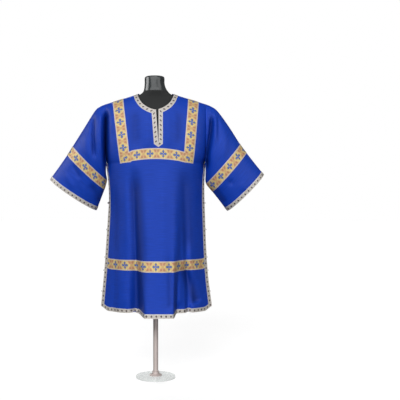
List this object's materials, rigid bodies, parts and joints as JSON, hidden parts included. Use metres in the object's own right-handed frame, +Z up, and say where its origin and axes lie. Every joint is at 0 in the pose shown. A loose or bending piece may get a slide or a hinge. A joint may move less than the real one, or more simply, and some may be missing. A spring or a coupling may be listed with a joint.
{
  "type": "sticharion on a dress form",
  "caption": "A-line church tunic in blue satin with wide sleeves, gold and silver galloon, buttoned open sides and a cross on the back, on a limbless dress form with a pole and glass disc.",
  "frame": {"origin": "centre of the base disc's underside, on the floor", "axes": "+Z up along the pole, the front of the garment faces -Y, the wearer's right is -X"},
  "size_m": [1.175, 0.4326, 1.639],
  "materials": {
    "satin": "plain royal blue satin weave with a soft sheen",
    "gold_galloon": "woven gold galloon with blue cross medallions and rose lattice between cream edges",
    "silver_galloon": "narrow woven silver galloon with a row of dark dots",
    "cross_applique": "embroidered gold cross with a silver cord edge",
    "button_metal": "small polished ball buttons",
    "loop_cord": "thin dark twisted cord",
    "jersey": "black knitted jersey cover",
    "lacquer": "glossy dark neck block",
    "chrome": "bright chromed tube and flange",
    "base_glass": "clear disc of thick glass"
  },
  "bodies": {
    "root": {"front_panel": "satin", "back_panel": "satin", "sleeve_right": "satin", "sleeve_left": "satin", "yoke_front": "gold_galloon", "yoke_back": "gold_galloon", "hem_band_front": "gold_galloon", "hem_band_back": "gold_galloon", "sleeve_band_right": "gold_galloon", "sleeve_band_left": "gold_galloon", "neck_trim_front": "silver_galloon", "neck_trim_back": "silver_galloon", "edge_trim_front": "silver_galloon", "edge_trim_back": "silver_galloon", "cuff_trim_right": "silver_galloon", "cuff_trim_left": "silver_galloon", "back_cross": "cross_applique", "button_right_1": "button_metal", "loop_right_1": "loop_cord", "button_right_2": "button_metal", "loop_right_2": "loop_cord", "button_right_3": "button_metal", "loop_right_3": "loop_cord", "button_right_4": "button_metal", "loop_right_4": "loop_cord", "button_right_5": "button_metal", "loop_right_5": "loop_cord", "button_left_1": "button_metal", "loop_left_1": "loop_cord", "button_left_2": "button_metal", "loop_left_2": "loop_cord", "button_left_3": "button_metal", "loop_left_3": "loop_cord", "button_left_4": "button_metal", "loop_left_4": "loop_cord", "button_left_5": "button_metal", "loop_left_5": "loop_cord", "form_torso": "jersey", "form_neck": "lacquer", "form_pole": "chrome", "form_flange": "chrome", "form_base": "base_glass"}
  },
  "joints": []
}
